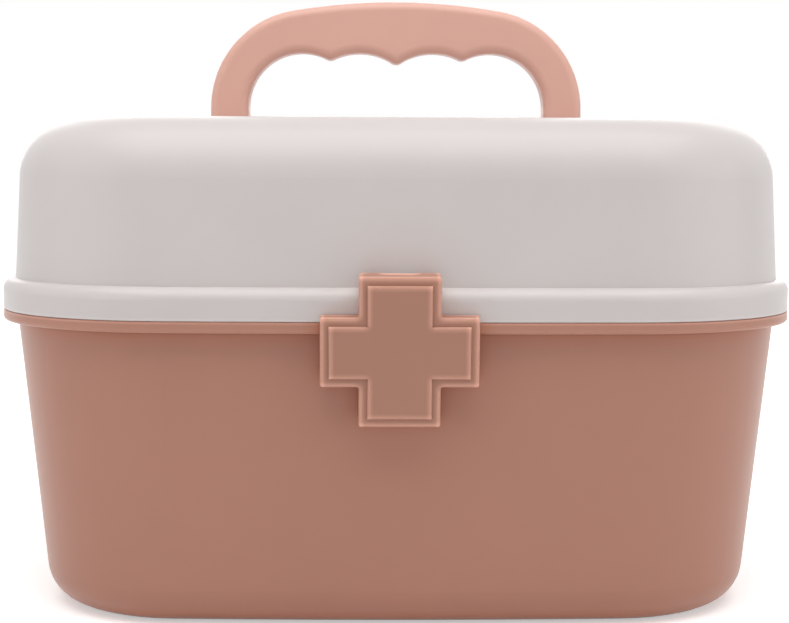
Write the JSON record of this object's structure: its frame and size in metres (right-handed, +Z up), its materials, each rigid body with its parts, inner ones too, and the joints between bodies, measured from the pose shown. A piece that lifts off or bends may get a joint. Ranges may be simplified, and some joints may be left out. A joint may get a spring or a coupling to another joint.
{
  "type": "first aid box",
  "caption": "Rounded first aid box with hinged domed lid, cross-shaped front latch, arched folding carrying handle and lift-out compartment tray.",
  "frame": {"origin": "on the floor under the middle of the closed box, handle upright", "axes": "+X to the right along the longer side, +Y to the back where the hinges are, +Z up"},
  "size_m": [0.28, 0.2039, 0.2119],
  "materials": {
    "tub_plastic": "satin moulded plastic, dusty pink",
    "lid_plastic": "satin moulded plastic, off-white",
    "handle_plastic": "satin moulded plastic, light pink",
    "latch_plastic": "satin moulded plastic, dusty pink",
    "tray_plastic": "matte moulded plastic, off-white",
    "handle_pin_plastic": "matte moulded plastic, off-white",
    "pin_steel": "plain steel wire"
  },
  "bodies": {
    "base": {"base_tub": "tub_plastic", "hinge_pin_left": "pin_steel", "hinge_pin_right": "pin_steel"},
    "lid": {"lid_shell": "lid_plastic", "handle_pin_left": "handle_pin_plastic", "handle_pin_right": "handle_pin_plastic"},
    "latch": {"latch_cross": "latch_plastic", "latch_pin": "pin_steel"},
    "handle": {"handle": "handle_plastic"},
    "tray": {"inner_tray": "tray_plastic"}
  },
  "joints": [
    {"name": "lid_hinge", "type": "hinge", "parent": "base", "child": "lid", "pos_m": [0, 0.0985, 0.103], "axis": [-1, 0, 0], "range_deg": [0, 110]},
    {"name": "latch_swing", "type": "hinge", "parent": "lid", "child": "latch", "pos_m": [0, -0.0944, 0.1161], "axis": [-1, 0, 0], "range_deg": [0, 90]},
    {"name": "handle_fold", "type": "hinge", "parent": "lid", "child": "handle", "pos_m": [0, 0, 0.1609], "axis": [-1, 0, 0], "range_deg": [0, 90]},
    {"name": "tray_lift", "type": "slide", "parent": "base", "child": "tray", "axis": [0, 0, 1], "range_m": [0, 0.04]}
  ]
}
